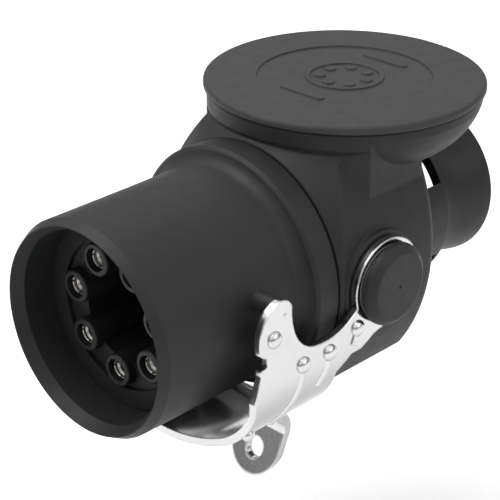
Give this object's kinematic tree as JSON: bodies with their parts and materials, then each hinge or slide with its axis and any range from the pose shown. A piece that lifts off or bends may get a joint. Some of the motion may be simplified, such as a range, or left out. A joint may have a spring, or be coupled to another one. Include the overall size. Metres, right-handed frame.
{
  "type": "trailer wiring connector",
  "caption": "Round pin-and-sleeve trailer cable plug: angled wiring housing with a round cover, a sheet-metal locking lever and a flared cable outlet.",
  "frame": {"origin": "on the plug's main axis, in the plane of the front rim", "axes": "-Y looks out of the mating face, +Y runs towards the cable outlet, +Z towards the round cover"},
  "size_m": [0.0756, 0.127, 0.1025],
  "materials": {
    "sleeve_black": "fine moulded texture, matte",
    "carrier_black": "satin moulded",
    "housing_black": "fine moulded texture, matte",
    "cover_grey": "fine moulded texture, matte",
    "bell_black": "fine moulded texture, matte",
    "gland_black": "satin moulded",
    "seal_rubber": "matte rubber",
    "contact_metal": "plated, bright",
    "screw_steel": "zinc plated",
    "bail_steel": "bright stainless sheet",
    "washer_steel": "spring steel"
  },
  "bodies": {
    "plug_body": {"front_sleeve": "sleeve_black", "contact_carrier": "carrier_black", "mating_seal": "seal_rubber", "carrier_retainer": "gland_black", "power_contacts": "contact_metal", "signal_contacts": "contact_metal", "terminal_screws": "screw_steel", "sleeve_gasket": "seal_rubber", "sleeve_screws": "screw_steel", "main_housing": "housing_black", "pivot_pin_right": "screw_steel", "pivot_pin_left": "screw_steel", "friction_washer_right": "washer_steel", "friction_washer_left": "washer_steel", "pivot_cap_right": "sleeve_black", "pivot_cap_left": "sleeve_black", "cable_bell": "bell_black", "cable_seal": "seal_rubber", "seal_washer": "washer_steel", "gland_nut": "gland_black", "cable_clamp": "gland_black", "clamp_screws": "screw_steel"},
    "lever": {"locking_lever": "bail_steel"},
    "cover": {"top_cover": "cover_grey", "cover_seal": "seal_rubber"}
  },
  "joints": [
    {"name": "lever_hinge", "type": "hinge", "parent": "plug_body", "child": "lever", "pos_m": [0, 0.0685, 0], "axis": [1, 0, 0], "range_deg": [0, 50]},
    {"name": "cover_lift", "type": "slide", "parent": "plug_body", "child": "cover", "axis": [0, 0, 1], "range_m": [0, 0.03]}
  ]
}
